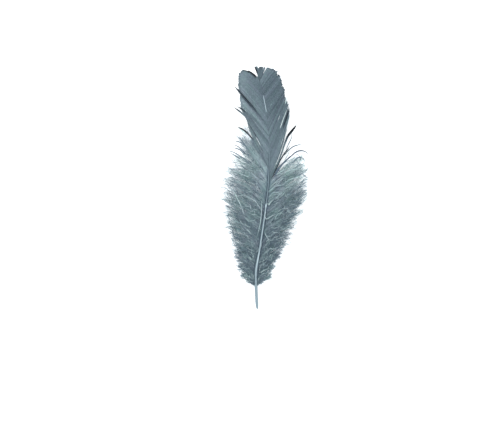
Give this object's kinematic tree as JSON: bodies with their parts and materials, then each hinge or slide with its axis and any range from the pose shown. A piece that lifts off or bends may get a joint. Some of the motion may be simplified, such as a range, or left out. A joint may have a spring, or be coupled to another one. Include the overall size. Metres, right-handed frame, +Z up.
{
  "type": "goose quill feather",
  "caption": "Goose quill feather dyed slate blue-grey: a bare quill, fluffy down over its lower half and a split, rounded web over its upper half. It lies flat.",
  "frame": {"origin": "middle of the feather's box, on the surface that it lies on", "axes": "+Y along the shaft from the quill's butt to the feather's tip, +Z up from the surface, +X to the right seen from above with the tip away from the viewer"},
  "size_m": [0.0602, 0.1604, 0.0122],
  "materials": {
    "vane": "dyed slate blue-grey barbs with a soft satin sheen",
    "down": "fluffy matt down, paler towards its tips",
    "quill": "smooth pale grey horn"
  },
  "bodies": {
    "root": {"feather": "vane"}
  },
  "joints": []
}
